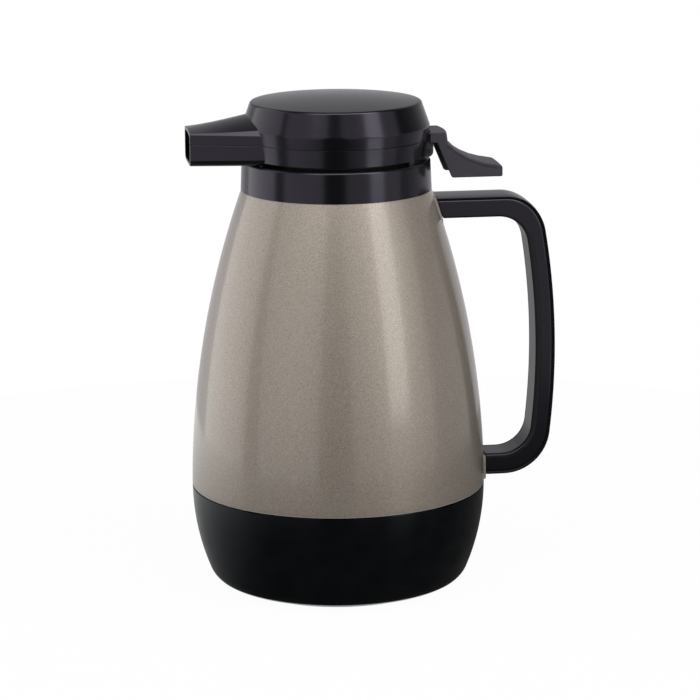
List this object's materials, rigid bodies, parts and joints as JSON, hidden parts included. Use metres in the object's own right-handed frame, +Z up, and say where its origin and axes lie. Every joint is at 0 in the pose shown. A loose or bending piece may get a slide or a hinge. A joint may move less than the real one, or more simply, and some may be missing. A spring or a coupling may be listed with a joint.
{
  "type": "vacuum carafe",
  "caption": "Insulated pouring carafe with a screw-in stopper, a spout, a sprung thumb lever that opens a valve, and a side handle.",
  "frame": {"origin": "on the carafe's upright axis, at the level of the foot ring's underside", "axes": "+Z up along the axis, +X towards the handle and the thumb lever, -X towards the spout"},
  "size_m": [0.1801, 0.1444, 0.2418],
  "materials": {
    "shell_paint": "satin metallic taupe paint on moulded plastic",
    "gloss_black": "glossy black moulded plastic",
    "satin_black": "satin black moulded plastic",
    "inner_plastic": "plain moulded black plastic inside the stopper",
    "black_rubber": "matte black rubber",
    "grey_silicone": "matte grey silicone",
    "silvered_glass": "blown glass, silvered between the walls",
    "steel": "bright drawn steel",
    "grip_strip": "matte dark grey strip on the grip"
  },
  "bodies": {
    "carafe": {"base_cup": "gloss_black", "foot_ring": "black_rubber", "bottom_cap": "satin_black", "liner_cushion": "black_rubber", "flask_outer_wall": "silvered_glass", "flask_inner_wall": "silvered_glass", "body_shell": "shell_paint", "neck_collar": "satin_black", "neck_gasket": "grey_silicone", "handle_body": "satin_black", "handle_insert": "grip_strip", "handle_screws": "steel"},
    "gasket": {"stopper_gasket": "grey_silicone"},
    "stopper": {"lid_base": "satin_black", "lid_cover": "satin_black", "stopper_plug": "inner_plastic", "lid_screws": "steel", "stem_guide": "inner_plastic", "valve_spring": "steel", "lever_pin": "steel"},
    "lever": {"lever": "satin_black"},
    "valve": {"valve_stem": "inner_plastic", "valve_disc": "grey_silicone", "stem_clip": "inner_plastic"}
  },
  "joints": [
    {"name": "stopper_lift", "type": "slide", "parent": "carafe", "child": "gasket", "axis": [0, 0, 1], "range_m": [0, 0.06]},
    {"name": "stopper_turn", "type": "hinge", "parent": "gasket", "child": "stopper", "pos_m": [0, 0, 0.2036], "axis": [0, 0, 1], "range_deg": [0, 270]},
    {"name": "lever_press", "type": "hinge", "parent": "stopper", "child": "lever", "pos_m": [0.0434, 0, 0.2147], "axis": [0, 1, 0], "range_deg": [0, 10], "stiffness_Nm_per_rad": 1, "deforming": ["valve_spring"]},
    {"name": "valve_lift", "type": "slide", "parent": "stopper", "child": "valve", "axis": [0, 0, 1], "range_m": [0, 0.0076], "deforming": ["valve_spring"]}
  ],
  "couplings": [
    {"joint": "valve_lift", "follows": "lever_press", "m_per_rad": 0.0434}
  ]
}
